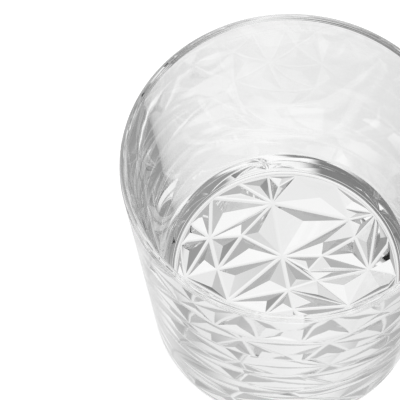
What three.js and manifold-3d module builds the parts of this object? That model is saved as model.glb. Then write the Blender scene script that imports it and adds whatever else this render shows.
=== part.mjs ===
// Whiskey tumbler: one piece of pressed clear glass with a heavy base and a star-cut underside.
// Millimetres, +Z up. The origin is the centre of the circle that the tumbler stands on.
// The tumbler is a turned body with a smooth inner floor. Its underside is cut with pits, one to
// each cell of a net of stars, so that what is left between the pits is a net of narrow ridges.

import * as THREE from "three";
import { ConvexGeometry } from "three/addons/geometries/ConvexGeometry.js";
import { mergeVertices } from "three/addons/utils/BufferGeometryUtils.js";
import Module from "manifold-3d";

// Outside
const HEIGHT = 85.3;
const RIM_RADIUS = 44.1;
const BASE_RADIUS = 37.4; // where the outer wall's straight line meets the table
const BASE_EDGE_ROUND = 1.4;

// Underside: a narrow flat foot ring around a shallow hollow
const FOOT_RING_INNER_RADIUS = 35.3;
const HOLLOW_DEPTH = 0.6;
const HOLLOW_SLOPE_WIDTH = 0.3;

// Inside
const RIM_THICKNESS = 2;
const FLOOR_HEIGHT = 22;
const FLOOR_CORNER_RADIUS = 32.6; // where the inner wall's straight line meets the floor
const FLOOR_CORNER_ROUND = 4.6;

// Star-cut underside
const STAR_FIELD_RADIUS = 34.8;
const RIDGE_WIDTH = 1.3;
const PIT_SLOPE = 0.58; // depth of a pit over the mean distance from its deepest point to its sides
const FRONT_PIT_SLOPE = 0.46; // the same for the pits on the -Y side
const FRONT_BEGINS = -9; // the y below which a pit counts as one of these
const DEEPEST_PIT = 2.6;
const CUT_MARGIN = 0.2; // how far the cutters start below the hollow's surface

// Fineness of the round surfaces
const TURN_SEGMENTS = 96;
const ARC_STEPS = 5;

// The stars: points where ridges meet, seen from above
const STARS = {
  A: [-3.5, 31],
  B: [-16, -5.8],
  C: [-1.5, 9],
  D: [1, -1.3],
  E: [18, -5],
  F: [26, -14.5],
  G: [-13.3, 14.8],
  H: [8.8, 2],
  I: [6.3, 4.9],
  J: [-28.3, 0.8],
  K: [17, 21.8],
  L: [-19.5, 3.8],
  N: [10, 9.8],
  O: [1, -27],
  Q: [-22.3, 13.5],
  R: [23.3, 6.5],
  S: [15.8, 25.3],
  T: [-5, 25.5],
  U: [-5, -9],
  V: [19, 16.2],
  W: [11, -18],
  X: [-9, -19],
  Y: [2.7, -7.2],
  Z: [-24, -15],
};

// The stars on the edge of the field, each at an angle clockwise from +Y in degrees
const EDGE_STARS = {
  a: -11,
  b: 2.5,
  c: 21.5,
  d: 46,
  e: 60,
  f: 82,
  g: 112,
  h: 140,
  i: 168,
  j: 195,
  k: 220,
  l: 246,
  m: 271,
  n: 289,
  o: 302,
  p: 319,
  q: 334,
};

// The cells between the ridges, each named by the stars at its corners
const CELLS = [
  "aAb TAa TbA TKScb Sdc KdS KVd TCK CNVK TGC TQG TpQ Tqp Taq GLC GQL",
  "LBC BDC CDH CHI CIN NIR IHR NRV VRd dRe eRf HER DEH DYE DUY BUD",
  "LJB QJL Qpo Qon QnJ nmJ REf EFf fFg gFh hFW hWi iWO iOj jOX jXk",
  "kXZ kZl lZJ lJm EWF EYW YUW UXW WXO UBX BZX BJZ",
].flatMap((row) => row.split(" "));

// Where a pit's deepest point lies away from the middle of its cell
const DEEPEST_POINTS = {
  TCK: [4, 19.7],
  CNVK: [10, 13.4],
  KVd: [20.3, 20],
  NRV: [18.3, 10.7],
  VRd: [22.3, 14.4],
  TGC: [-8.6, 15.5],
  TpQ: [-19, 21],
  GLC: [-11, 10.3],
  LBC: [-14.4, 1.6],
  BDC: [-4.6, 0.7],
  CDH: [2.9, 1.7],
  CIN: [5.4, 7.6],
  NIR: [12.5, 5.9],
  HER: [16.4, 0.8],
  DEH: [9.3, -2.7],
  DYE: [7.5, -5.2],
  BUD: [-5, -5.5],
  LJB: [-20.7, -2.4],
  REf: [26.5, 0.7],
  KdS: [19.2, 23.6],
};

// Pits that are cut shallower or deeper than the usual slope makes them
const PIT_DEPTHS = { TKScb: 1, TpQ: 2, NIR: 1.9, HER: 1.3 };

const glass = new THREE.MeshStandardMaterial({
  color: 0xf4f6f6,
  roughness: 0.05,
  metalness: 0,
  transparent: true,
  opacity: 0.35,
});

// The points of a round that replaces a sharp corner between two straight lines.
function roundedCorner(before, corner, after, radius) {
  const toBefore = before.clone().sub(corner).normalize();
  const toAfter = after.clone().sub(corner).normalize();
  const halfAngle = Math.acos(toBefore.dot(toAfter)) / 2;
  const middle = toBefore.clone().add(toAfter).normalize();
  const centre = corner.clone().addScaledVector(middle, radius / Math.sin(halfAngle));
  const tangentLength = radius / Math.tan(halfAngle);
  const start = corner.clone().addScaledVector(toBefore, tangentLength).sub(centre);
  const end = corner.clone().addScaledVector(toAfter, tangentLength).sub(centre);
  let sweep = end.angle() - start.angle();
  if (sweep > Math.PI) sweep -= 2 * Math.PI;
  if (sweep < -Math.PI) sweep += 2 * Math.PI;
  const points = [];
  for (let step = 0; step <= ARC_STEPS; step++) {
    const turned = start.clone().rotateAround(new THREE.Vector2(), (sweep * step) / ARC_STEPS);
    points.push(turned.add(centre));
  }
  return points;
}

// Half of the tumbler's section: from the middle of the underside, out, up, over the rim, and in
// along the smooth floor.
function section() {
  const point = (radius, height) => new THREE.Vector2(radius, height);
  const underside = point(0, HOLLOW_DEPTH);
  const hollowTop = point(FOOT_RING_INNER_RADIUS - HOLLOW_SLOPE_WIDTH, HOLLOW_DEPTH);
  const footInner = point(FOOT_RING_INNER_RADIUS, 0);
  const baseCorner = point(BASE_RADIUS, 0);
  const rimOuter = point(RIM_RADIUS, HEIGHT);
  const rimInner = point(RIM_RADIUS - RIM_THICKNESS, HEIGHT);
  const floorCorner = point(FLOOR_CORNER_RADIUS, FLOOR_HEIGHT);
  const floorCentre = point(0, FLOOR_HEIGHT);

  const rimRound = RIM_THICKNESS * 0.45;
  return [
    underside,
    hollowTop,
    footInner,
    ...roundedCorner(footInner, baseCorner, rimOuter, BASE_EDGE_ROUND),
    ...roundedCorner(baseCorner, rimOuter, rimInner, rimRound),
    ...roundedCorner(rimOuter, rimInner, floorCorner, rimRound),
    ...roundedCorner(rimInner, floorCorner, floorCentre, FLOOR_CORNER_ROUND),
    floorCentre,
  ];
}

// Every star by name, as a point.
function starPoints() {
  const points = {};
  for (const [name, [x, y]] of Object.entries(STARS)) points[name] = new THREE.Vector2(x, y);
  for (const [name, degrees] of Object.entries(EDGE_STARS)) {
    const turn = THREE.MathUtils.degToRad(degrees);
    points[name] = new THREE.Vector2(Math.sin(turn), Math.cos(turn)).multiplyScalar(STAR_FIELD_RADIUS);
  }
  return points;
}

// How far a point lies to the left of the side from one corner to the next.
function distanceToSide(point, start, end) {
  return end.clone().sub(start).normalize().cross(point.clone().sub(start));
}

// The corners of a convex outline, moved in so that every side shifts by the width.
function inset(corners, width) {
  return corners.map((corner, n) => {
    const last = corners[(n + corners.length - 1) % corners.length];
    const next = corners[(n + 1) % corners.length];
    const toLast = last.clone().sub(corner).normalize();
    const toNext = next.clone().sub(corner).normalize();
    const halfAngle = Math.acos(toLast.dot(toNext)) / 2;
    const inward = toLast.add(toNext).normalize();
    return corner.clone().addScaledVector(inward, width / Math.sin(halfAngle));
  });
}

// The solid that cuts one pit: a pyramid pointing up into the glass, on a short straight foot.
function pitCutter(cell, points) {
  const corners = [...cell].map((name) => points[name]);
  const middle = new THREE.Vector2();
  corners.forEach((corner) => middle.addScaledVector(corner, 1 / corners.length));
  const deepest = cell in DEEPEST_POINTS ? new THREE.Vector2(...DEEPEST_POINTS[cell]) : middle;
  const reach = corners.map((corner, n) =>
    distanceToSide(deepest, corner, corners[(n + 1) % corners.length]),
  );
  const meanReach = reach.reduce((sum, distance) => sum + distance, 0) / reach.length;
  const slope = deepest.y < FRONT_BEGINS ? FRONT_PIT_SLOPE : PIT_SLOPE;
  const depth = PIT_DEPTHS[cell] ?? Math.min(DEEPEST_PIT, slope * meanReach);

  const outline = inset(corners, Math.min(RIDGE_WIDTH / 2, Math.min(...reach) / 3));
  const level = (height) => outline.map(({ x, y }) => new THREE.Vector3(x, y, height));
  return new ConvexGeometry([
    ...level(HOLLOW_DEPTH - CUT_MARGIN),
    ...level(HOLLOW_DEPTH),
    new THREE.Vector3(deepest.x, deepest.y, HOLLOW_DEPTH + depth),
  ]);
}

const wasm = await Module();
wasm.setup();

function solidOf(geometry) {
  const bare = geometry.clone();
  bare.deleteAttribute("normal");
  bare.deleteAttribute("uv");
  const merged = mergeVertices(bare, 1e-4);
  return new wasm.Manifold(
    new wasm.Mesh({
      numProp: 3,
      vertProperties: merged.attributes.position.array,
      triVerts: new Uint32Array(merged.index.array),
    }),
  );
}

function geometryOf(solid) {
  const mesh = solid.getMesh();
  return new THREE.BufferGeometry()
    .setAttribute("position", new THREE.BufferAttribute(mesh.vertProperties, 3))
    .setIndex(new THREE.BufferAttribute(mesh.triVerts, 1))
    .toNonIndexed();
}

// LatheGeometry turns about Y; a quarter turn about X stands it on Z.
function turnedBody() {
  return new THREE.LatheGeometry(section(), TURN_SEGMENTS).rotateX(Math.PI / 2);
}

function tumblerBody() {
  const points = starPoints();
  let glassBody = solidOf(turnedBody());
  for (const cell of CELLS) glassBody = glassBody.subtract(solidOf(pitCutter(cell, points)));
  const geometry = geometryOf(glassBody);
  geometry.computeVertexNormals();
  const mesh = new THREE.Mesh(geometry, glass);
  mesh.name = "tumbler_body";
  return mesh;
}

const tumbler = new THREE.Group();
tumbler.add(tumblerBody());

export default tumbler;
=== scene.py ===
"""Whiskey tumbler in clear pressed glass, standing on a pale table in a white studio.

Lengths named below are millimetres; Blender's are metres. The glass is one closed mesh: a turned
body whose underside is a net of ridges and pits, built facet by facet.
"""
import math

import bpy
from mathutils import Matrix, Vector
from mathutils.geometry import delaunay_2d_cdt


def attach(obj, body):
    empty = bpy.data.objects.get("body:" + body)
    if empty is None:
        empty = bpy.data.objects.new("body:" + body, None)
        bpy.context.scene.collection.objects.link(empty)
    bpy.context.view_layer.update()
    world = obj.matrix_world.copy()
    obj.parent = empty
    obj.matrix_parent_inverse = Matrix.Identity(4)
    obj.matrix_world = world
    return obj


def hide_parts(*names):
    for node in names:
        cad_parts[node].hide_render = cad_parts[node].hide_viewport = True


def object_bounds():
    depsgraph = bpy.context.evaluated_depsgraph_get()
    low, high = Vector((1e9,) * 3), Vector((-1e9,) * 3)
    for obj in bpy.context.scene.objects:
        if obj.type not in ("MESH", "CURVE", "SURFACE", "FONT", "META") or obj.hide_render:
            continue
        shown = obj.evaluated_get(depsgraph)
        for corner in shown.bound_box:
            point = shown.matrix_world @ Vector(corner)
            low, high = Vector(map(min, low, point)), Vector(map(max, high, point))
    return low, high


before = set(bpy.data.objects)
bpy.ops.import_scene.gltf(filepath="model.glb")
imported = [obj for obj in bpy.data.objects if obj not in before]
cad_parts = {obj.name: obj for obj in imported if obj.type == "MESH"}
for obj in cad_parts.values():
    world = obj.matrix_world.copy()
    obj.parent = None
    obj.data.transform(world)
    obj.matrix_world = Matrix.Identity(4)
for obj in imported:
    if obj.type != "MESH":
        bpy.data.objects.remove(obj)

cad_low, cad_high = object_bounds()

MM = 0.001

# the turned body
HEIGHT = cad_high.z / MM
RIM_RADIUS = 44.1
BASE_RADIUS = 37.4  # where the outer wall's straight line meets the table
BASE_EDGE_ROUND = 1.4

FOOT_RING_INNER_RADIUS = 35.3
HOLLOW_DEPTH = 0.6
HOLLOW_SLOPE_WIDTH = 0.3
HOLLOW_ROUND = 0.1

RIM_THICKNESS = 2.0
RIM_ROUND = RIM_THICKNESS * 0.45
FLOOR_HEIGHT = 22.0
FLOOR_CORNER_RADIUS = 32.6  # where the inner wall's straight line meets the floor
FLOOR_CORNER_ROUND = 4.6

# the star-cut underside
STAR_FIELD_RADIUS = 34.8
RIDGE_WIDTH = 1.3
RIDGE_SHARE = 1 / 3  # the most that a ridge takes of the way from a pit's deepest point to its side
RIDGE_CREST = 0.15  # how far the crests stand proud of the hollow, except at its edge
PIT_SLOPE = 0.58  # depth of a pit over the mean distance from its deepest point to its sides
FRONT_PIT_SLOPE = 0.46  # the same for the pits on the -Y side
FRONT_BEGINS = -9.0  # the y below which a pit counts as one of these
DEEPEST_PIT = 2.6

TURN_SEGMENTS = 480
ARC_STEPS = 10
SAME_POINT = 1e-6  # points of the margin closer than this are one

# the glass, whose waves and patches of polish are counted per metre
GLASS_INDEX = 1.52
WAVE_SCALE = 90
WAVE_STRETCH = 0.35
WAVE_DEPTH = 0.05
POLISH_SCALE = 260
POLISH_BEGINS = 0.45
POLISH_FULL = 0.75
ROUGHEST = 0.03
BASE_TINT = (0.995, 0.998, 0.996, 1)
WALL_TINT = (0.998, 0.999, 0.998, 1)

# the table
TABLE_SIZE = 6000
TABLE_GAP = 0.2
TABLE_COLOUR = (0.95, 0.95, 0.95, 1)
TABLE_ROUGHNESS = 0.8
TABLE_GLOW = 0.75
WHITE = (1, 1, 1, 1)

# the sockets of a mix node that are used for colours and for plain values
MIX_COLOUR_A, MIX_COLOUR_B, MIX_COLOUR_OUT = 6, 7, 2
MIX_VALUE_A, MIX_VALUE_B, MIX_VALUE_OUT = 2, 3, 0

# the net of ridges under the tumbler: stars by letter, then the cells between them
STARS = {
    "C": (-1.5, 9), "D": (1, -1.3), "T": (-5, 25.5), "A": (-3.5, 31), "K": (17, 21.8), "S": (15.8, 25.3),
    "V": (19, 16.2), "N": (10, 9.8), "R": (23.3, 6.5), "I": (6.3, 4.9), "H": (8.8, 2), "E": (18, -5),
    "Y": (2.7, -7.2), "U": (-5, -9), "B": (-16, -5.8), "L": (-19.5, 3.8), "J": (-28.3, 0.8),
    "Q": (-22.3, 13.5), "G": (-13.3, 14.8),
    "F": (26, -14.5), "W": (11, -18), "O": (1, -27), "X": (-9, -19), "Z": (-24, -15),
}
# the stars on the field's edge, each at a clockwise angle from +Y
EDGE_STARS = {
    "a": -11, "b": 2.5, "c": 21.5, "d": 46, "e": 60, "f": 82, "g": 112, "h": 140, "i": 168,
    "j": 195, "k": 220, "l": 246, "m": 271, "n": 289, "o": 302, "p": 319, "q": 334,
}
CELLS = """
    aAb TAa TbA TKScb Sdc KdS KVd TCK CNVK TGC TQG TpQ Tqp Taq
    GLC GQL LBC BDC CDH CHI CIN NIR IHR NRV VRd dRe eRf HER DEH DYE DUY BUD
    LJB QJL Qpo Qon QnJ nmJ REf EFf fFg gFh hFW hWi iWO iOj jOX jXk kXZ kZl lZJ lJm
    EWF EYW YUW UXW WXO UBX BZX BJZ
""".split()
# pits that are cut shallower or deeper than the usual slope makes them
PIT_DEPTHS = {"TKScb": 1.0, "TpQ": 2.0, "NIR": 1.9, "HER": 1.3}
# where the deepest point of a cell isn't at its middle
DEEPEST_POINTS = {
    "TCK": (4, 19.7), "CNVK": (10, 13.4), "KVd": (20.3, 20), "NRV": (18.3, 10.7), "VRd": (22.3, 14.4),
    "TGC": (-8.6, 15.5), "TpQ": (-19, 21), "GLC": (-11, 10.3), "LBC": (-14.4, 1.6), "BDC": (-4.6, 0.7),
    "CDH": (2.9, 1.7), "CIN": (5.4, 7.6), "NIR": (12.5, 5.9), "HER": (16.4, 0.8), "DEH": (9.3, -2.7),
    "DYE": (7.5, -5.2), "BUD": (-5, -5.5), "LJB": (-20.7, -2.4), "REf": (26.5, 0.7), "KdS": (19.2, 23.6),
}


# ---------------------------------------------------------------- the turned section

def rounded_corner(before, corner, after, radius):
    """Points and outward normals of the arc that rounds a corner."""
    to_before = (before - corner).normalized()
    to_after = (after - corner).normalized()
    half_angle = to_before.angle(to_after) / 2
    middle = (to_before + to_after).normalized()
    centre = corner + middle * (radius / math.sin(half_angle))
    reach = radius / math.tan(half_angle)
    start = corner + to_before * reach - centre
    sweep = start.angle_signed(corner + to_after * reach - centre)
    # where the outline turns left the glass bulges out, and where it turns right it is hollowed
    bump = to_before.cross(to_after) < 0
    out = []
    for step in range(ARC_STEPS + 1):
        turn = -sweep * step / ARC_STEPS
        arm = Vector((start.x * math.cos(turn) - start.y * math.sin(turn),
                      start.x * math.sin(turn) + start.y * math.cos(turn)))
        normal = arm.normalized() if bump else -arm.normalized()
        out.append((centre + arm, normal))
    return out


def section():
    """Half of the tumbler's section with normals, from the hollow's edge round to the floor's edge."""
    corners = [
        (0, HOLLOW_DEPTH, 0),
        (FOOT_RING_INNER_RADIUS - HOLLOW_SLOPE_WIDTH, HOLLOW_DEPTH, HOLLOW_ROUND),
        (FOOT_RING_INNER_RADIUS, 0, HOLLOW_ROUND),
        (BASE_RADIUS, 0, BASE_EDGE_ROUND),
        (RIM_RADIUS, HEIGHT, RIM_ROUND),
        (RIM_RADIUS - RIM_THICKNESS, HEIGHT, RIM_ROUND),
        (FLOOR_CORNER_RADIUS, FLOOR_HEIGHT, FLOOR_CORNER_ROUND),
        (0, FLOOR_HEIGHT, 0),
    ]
    points = [Vector((x, z)) for x, z, _ in corners]
    rounds = [radius for _, _, radius in corners]
    outline = []
    for before, corner, after, radius in zip(points, points[1:], points[2:], rounds[1:]):
        outline += rounded_corner(before, corner, after, radius)
    return outline


# ---------------------------------------------------------------- the star-cut underside

def star_points():
    """Where every star is, by letter."""
    points = {name: Vector(place) for name, place in STARS.items()}
    for name, angle in EDGE_STARS.items():
        turn = math.radians(angle)
        points[name] = Vector((math.sin(turn), math.cos(turn))) * STAR_FIELD_RADIUS
    return points


def distance_to_side(point, start, end):
    """How far a point lies to the left of the line from start to end."""
    return (end - start).normalized().cross(point - start)


def inset(corners, width):
    """The corners of a convex outline, moved in so that every side shifts by the width."""
    moved = []
    for n, corner in enumerate(corners):
        to_last = (corners[n - 1] - corner).normalized()
        to_next = (corners[(n + 1) % len(corners)] - corner).normalized()
        half_angle = to_last.angle(to_next) / 2
        moved.append(corner + (to_last + to_next).normalized() * (width / math.sin(half_angle)))
    return moved


class Builder:
    """Collects vertices, faces and one normal for each face corner."""

    def __init__(self):
        self.verts = []
        self.faces = []
        self.normals = []

    def vert(self, x, y, z):
        self.verts.append((x * MM, y * MM, z * MM))
        return len(self.verts) - 1

    def face(self, corners, normals):
        self.faces.append(tuple(corners))
        self.normals += normals

    def flat(self, corners):
        """A flat face; returns its normal."""
        a, b, c = (Vector(self.verts[i]) for i in corners[:3])
        normal = (b - a).cross(c - a).normalized()
        self.face(corners, [normal] * len(corners))
        return normal


UP = Vector((0, 0, 1))


def build_turned(build, outline):
    """The turned body, open only where the star-cut underside goes. Returns the ring around that gap."""
    rings = []
    for point, normal in outline:
        ring = []
        for step in range(TURN_SEGMENTS):
            turn = 2 * math.pi * step / TURN_SEGMENTS
            ring.append((build.vert(point.x * math.cos(turn), point.x * math.sin(turn), point.y),
                         Vector((normal.x * math.cos(turn), normal.x * math.sin(turn), normal.y))))
        rings.append(ring)
    for lower, upper in zip(rings, rings[1:]):
        for step in range(TURN_SEGMENTS):
            after = (step + 1) % TURN_SEGMENTS
            quad = [lower[step], lower[after], upper[after], upper[step]]
            build.face([i for i, _ in quad], [n for _, n in quad])
    middle = build.vert(0, 0, FLOOR_HEIGHT)
    last = rings[-1]
    for step in range(TURN_SEGMENTS):
        after = (step + 1) % TURN_SEGMENTS
        build.face([middle, last[step][0], last[after][0]], [UP] * 3)
    return [i for i, _ in rings[0]]


def build_underside(build, edge_ring):
    """The net of ridges and pits, and the flat margin around it."""
    points = star_points()
    crest = {name: build.vert(p.x, p.y, HOLLOW_DEPTH - (RIDGE_CREST if name in STARS else 0))
             for name, p in points.items()}
    down = -UP
    for cell in CELLS:
        corners = [points[name] for name in cell]
        sides = list(zip(corners, corners[1:] + corners[:1]))
        middle = sum(corners, Vector((0, 0))) / len(corners)
        deepest = Vector(DEEPEST_POINTS.get(cell, middle))
        reach = [distance_to_side(deepest, a, b) for a, b in sides]
        steepness = FRONT_PIT_SLOPE if deepest.y < FRONT_BEGINS else PIT_SLOPE
        depth = PIT_DEPTHS.get(cell, min(DEEPEST_PIT, steepness * sum(reach) / len(reach)))
        ring = [crest[name] for name in cell]
        ridge_side = min(RIDGE_WIDTH / 2, min(reach) * RIDGE_SHARE)
        inner = [build.vert(p.x, p.y, HOLLOW_DEPTH) for p in inset(corners, ridge_side)]
        pit = build.vert(deepest.x, deepest.y, HOLLOW_DEPTH + depth)
        for n in range(len(cell)):
            m = (n + 1) % len(cell)
            slope = build.flat([inner[m], inner[n], pit])
            build.face([ring[m], ring[n], inner[n], inner[m]], [down, down, slope, slope])

    # the flat margin between the outermost ridges and the foot ring
    names = sorted(EDGE_STARS, key=EDGE_STARS.get)
    outer = [points[name] for name in names]
    rim = [Vector(build.verts[i][:2]) / MM for i in edge_ring]
    count = len(outer)
    edges = [(n, (n + 1) % count) for n in range(count)]
    edges += [(count + n, count + (n + 1) % len(rim)) for n in range(len(rim))]
    where, _, faces, origin, _, _ = delaunay_2d_cdt(outer + rim, edges, [], 0, SAME_POINT)
    index = [crest[names[o[0]]] if o[0] < count else edge_ring[o[0] - count] for o in origin]
    field_sides = [(outer[(n + 1) % count], outer[n]) for n in range(count)]
    for face in faces:
        centre = sum((where[n] for n in face), Vector((0, 0))) / 3
        if not inside_outline(centre, field_sides):
            build.face([index[n] for n in reversed(face)], [down] * 3)


def inside_outline(point, sides):
    """Whether a point lies to the left of every side of a convex outline."""
    return all(distance_to_side(point, start, end) > 0 for start, end in sides)


def glass_body(material):
    """The whole tumbler as one closed mesh with its own normals."""
    build = Builder()
    edge_ring = build_turned(build, section())
    build_underside(build, edge_ring)
    mesh = bpy.data.meshes.new("tumbler_glass")
    mesh.from_pydata(build.verts, [], build.faces)
    mesh.polygons.foreach_set("use_smooth", [True] * len(mesh.polygons))
    mesh.normals_split_custom_set(build.normals)
    mesh.materials.append(material)
    mesh.update()
    body = bpy.data.objects.new("tumbler_glass", mesh)
    bpy.context.scene.collection.objects.link(body)
    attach(body, "root")
    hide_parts("tumbler_body")
    return body


# ---------------------------------------------------------------- materials

def clear_glass():
    """Pressed glass: fire-polished, with faint waves left by the mould and a trace of green in the base."""
    material = bpy.data.materials.new("clear_glass")
    material.use_nodes = True
    nodes = material.node_tree.nodes
    links = material.node_tree.links
    shader = nodes["Principled BSDF"]
    shader.inputs["Transmission Weight"].default_value = 1
    shader.inputs["IOR"].default_value = GLASS_INDEX
    place = nodes.new("ShaderNodeTexCoord").outputs["Object"]

    # slow waves across the surface, drawn out along the tumbler's axis
    stretch = nodes.new("ShaderNodeMapping")
    stretch.inputs["Scale"].default_value = (1, 1, WAVE_STRETCH)
    links.new(place, stretch.inputs["Vector"])
    waves = nodes.new("ShaderNodeTexNoise")
    waves.inputs["Scale"].default_value = WAVE_SCALE
    waves.inputs["Detail"].default_value = 1
    links.new(stretch.outputs["Vector"], waves.inputs["Vector"])
    bump = nodes.new("ShaderNodeBump")
    bump.inputs["Strength"].default_value = 1
    bump.inputs["Distance"].default_value = WAVE_DEPTH * MM
    links.new(waves.outputs["Fac"], bump.inputs["Height"])
    links.new(bump.outputs["Normal"], shader.inputs["Normal"])

    # handling leaves the polish a little less than perfect in patches
    patches = nodes.new("ShaderNodeTexNoise")
    patches.inputs["Scale"].default_value = POLISH_SCALE
    patches.inputs["Detail"].default_value = 4
    links.new(place, patches.inputs["Vector"])
    polish = nodes.new("ShaderNodeMapRange")
    polish.inputs["From Min"].default_value = POLISH_BEGINS
    polish.inputs["From Max"].default_value = POLISH_FULL
    polish.inputs["To Max"].default_value = ROUGHEST
    links.new(patches.outputs["Fac"], polish.inputs["Value"])
    links.new(polish.outputs["Result"], shader.inputs["Roughness"])

    # the tint is deepest where the glass is thick
    split = nodes.new("ShaderNodeSeparateXYZ")
    links.new(place, split.inputs[0])
    depth = nodes.new("ShaderNodeMapRange")
    depth.inputs["From Max"].default_value = FLOOR_HEIGHT * MM
    links.new(split.outputs["Z"], depth.inputs["Value"])
    tint = nodes.new("ShaderNodeMix")
    tint.data_type = "RGBA"
    tint.inputs[MIX_COLOUR_A].default_value = BASE_TINT
    tint.inputs[MIX_COLOUR_B].default_value = WALL_TINT
    links.new(depth.outputs["Result"], tint.inputs["Factor"])
    links.new(tint.outputs[MIX_COLOUR_OUT], shader.inputs["Base Color"])
    return material


def table():
    """A pale table that is seen directly. Rays through or off the glass see the studio instead."""
    bpy.ops.mesh.primitive_plane_add(size=TABLE_SIZE * MM, location=(0, 0, -TABLE_GAP * MM))
    floor = bpy.context.object
    floor.name = "table"
    material = bpy.data.materials.new("table")
    material.use_nodes = True
    shader = material.node_tree.nodes["Principled BSDF"]
    shader.inputs["Base Color"].default_value = TABLE_COLOUR
    shader.inputs["Roughness"].default_value = TABLE_ROUGHNESS
    shader.inputs["Emission Color"].default_value = WHITE
    shader.inputs["Emission Strength"].default_value = TABLE_GLOW
    floor.data.materials.append(material)
    floor.visible_transmission = False
    floor.visible_glossy = False


# ---------------------------------------------------------------- camera and light

# the camera looks down at a point in the middle of the rim, then turns aside so that the
# tumbler is cut off at the right and at the bottom; angles are degrees
CAMERA_TARGET_HEIGHT = 84.8
CAMERA_DISTANCE = 616.0
CAMERA_LOOKS_DOWN = 62.9
CAMERA_TURNS_LEFT = 2.1345
CAMERA_TURNS_DOWN = 0.9971
CAMERA_LEANS = -3.2228
CAMERA_LENS = 217.9
CAMERA_SENSOR = 36
CAMERA_SEES_FROM = 10
CAMERA_SEES_TO = 20000


def camera():
    """The camera above the -Y side, looking steeply down into the tumbler."""
    down = math.radians(CAMERA_LOOKS_DOWN)
    right = Vector((1, 0, 0))
    up = Vector((0, math.sin(down), math.cos(down)))
    ahead = Vector((0, math.cos(down), -math.sin(down)))
    place = Vector((0, 0, CAMERA_TARGET_HEIGHT)) - ahead * CAMERA_DISTANCE
    aside = math.tan(math.radians(CAMERA_TURNS_LEFT))
    below = math.tan(math.radians(CAMERA_TURNS_DOWN))
    ahead = (ahead - right * aside - up * below).normalized()
    lean = math.radians(CAMERA_LEANS)
    right = right * math.cos(lean) - up * math.sin(lean)
    right = (right - ahead * right.dot(ahead)).normalized()
    up = right.cross(ahead)
    data = bpy.data.cameras.new("camera")
    data.lens = CAMERA_LENS
    data.sensor_width = CAMERA_SENSOR
    data.clip_start = CAMERA_SEES_FROM * MM
    data.clip_end = CAMERA_SEES_TO * MM
    cam = bpy.data.objects.new("camera", data)
    turn = Matrix((right, up, -ahead)).transposed()
    cam.matrix_world = Matrix.Translation(place * MM) @ turn.to_4x4()
    bpy.context.scene.collection.objects.link(cam)
    bpy.context.scene.camera = cam


# brightness of the studio against the height of a direction above the horizon, in degrees
STUDIO_LIGHT = [
    (-90, 0.99), (-74, 0.98), (-66, 0.95), (-58, 0.83), (-46, 0.57),
    (-25, 0.46), (0, 0.48), (30, 0.46), (90, 0.48),
]
# two darker sides of the studio and two bright panels: direction in degrees clockwise from +Y, where
# each begins and is full as a cosine from that direction, the heights it covers, and its brightness
DARK_SIDE = {"towards": -130, "begins": 0.2, "full": 0.9, "lowest": -72, "highest": 40, "level": 0.2}
RIGHT_SHADE = {"towards": 95, "begins": 0.45, "full": 0.8, "lowest": -72, "highest": -5, "level": 0.3}
FRONT_PANEL = {"towards": 165, "begins": 0.8, "full": 0.92, "lowest": -56, "highest": 30, "level": 1.0}
REAR_PANEL = {"towards": -5, "begins": 0.72, "full": 0.9, "lowest": -66, "highest": -12, "level": 0.86}
PANEL_SOFTNESS = 0.06  # half the width of a panel's upper and lower edges, as a sine of height
LIGHT_BOUNCES = 32
GLOSSY_BOUNCES = 24
DIFFUSE_BOUNCES = 4


def studio_height(height, nodes, links):
    """The brightness of the studio at a direction's height, from the light's curve."""
    half = nodes.new("ShaderNodeMath")
    half.operation = "MULTIPLY_ADD"
    half.inputs[1].default_value = 0.5
    half.inputs[2].default_value = 0.5
    links.new(height, half.inputs[0])
    ramp = nodes.new("ShaderNodeFloatCurve")
    curve = ramp.mapping.curves[0]
    points = [((math.sin(math.radians(angle)) + 1) / 2, level) for angle, level in STUDIO_LIGHT]
    curve.points[0].location = points[0]
    curve.points[1].location = points[-1]
    for point in points[1:-1]:
        curve.points.new(*point)
    ramp.mapping.update()
    links.new(half.outputs[0], ramp.inputs["Value"])
    return ramp.outputs[0]


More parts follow.
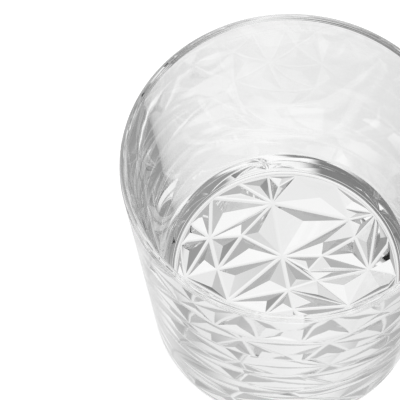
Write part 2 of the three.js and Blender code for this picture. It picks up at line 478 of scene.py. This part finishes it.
def studio():
    """A world whose brightness depends on nothing but the direction."""
    scene = bpy.context.scene
    world = bpy.data.worlds.new("studio")
    world.use_nodes = True
    scene.world = world
    nodes = world.node_tree.nodes
    links = world.node_tree.links
    where = nodes.new("ShaderNodeTexCoord").outputs["Generated"]
    split = nodes.new("ShaderNodeSeparateXYZ")
    links.new(where, split.inputs[0])
    height = split.outputs["Z"]
    light = studio_height(height, nodes, links)

    def smooth(value, low, high):
        node = nodes.new("ShaderNodeMapRange")
        node.interpolation_type = "SMOOTHSTEP"
        node.inputs["From Min"].default_value = low
        node.inputs["From Max"].default_value = high
        links.new(value, node.inputs["Value"])
        return node.outputs["Result"]

    def product(one, two):
        node = nodes.new("ShaderNodeMath")
        node.operation = "MULTIPLY"
        links.new(one, node.inputs[0])
        links.new(two, node.inputs[1])
        return node.outputs[0]

    flat = nodes.new("ShaderNodeCombineXYZ")
    links.new(split.outputs["X"], flat.inputs["X"])
    links.new(split.outputs["Y"], flat.inputs["Y"])
    level_way = nodes.new("ShaderNodeVectorMath")
    level_way.operation = "NORMALIZE"
    links.new(flat.outputs[0], level_way.inputs[0])
    for side in (DARK_SIDE, RIGHT_SHADE, FRONT_PANEL, REAR_PANEL):
        turn = math.radians(side["towards"])
        dot = nodes.new("ShaderNodeVectorMath")
        dot.operation = "DOT_PRODUCT"
        dot.inputs[1].default_value = (math.sin(turn), math.cos(turn), 0)
        links.new(level_way.outputs[0], dot.inputs[0])
        across = smooth(dot.outputs["Value"], side["begins"], side["full"])
        low = math.sin(math.radians(side["lowest"]))
        high = math.sin(math.radians(side["highest"]))
        above = smooth(height, low - PANEL_SOFTNESS, low + PANEL_SOFTNESS)
        below = smooth(height, high + PANEL_SOFTNESS, high - PANEL_SOFTNESS)
        mix = nodes.new("ShaderNodeMix")
        mix.data_type = "FLOAT"
        links.new(product(across, product(above, below)), mix.inputs["Factor"])
        links.new(light, mix.inputs[MIX_VALUE_A])
        mix.inputs[MIX_VALUE_B].default_value = side["level"]
        light = mix.outputs[MIX_VALUE_OUT]
    links.new(light, nodes["Background"].inputs["Strength"])
    nodes["Background"].inputs["Color"].default_value = WHITE
    scene.view_settings.view_transform = "Standard"
    scene.cycles.max_bounces = LIGHT_BOUNCES
    scene.cycles.transmission_bounces = LIGHT_BOUNCES
    scene.cycles.glossy_bounces = GLOSSY_BOUNCES
    scene.cycles.diffuse_bounces = DIFFUSE_BOUNCES
    scene.cycles.use_denoising = True


camera()
studio()
table()
glass_body(clear_glass())
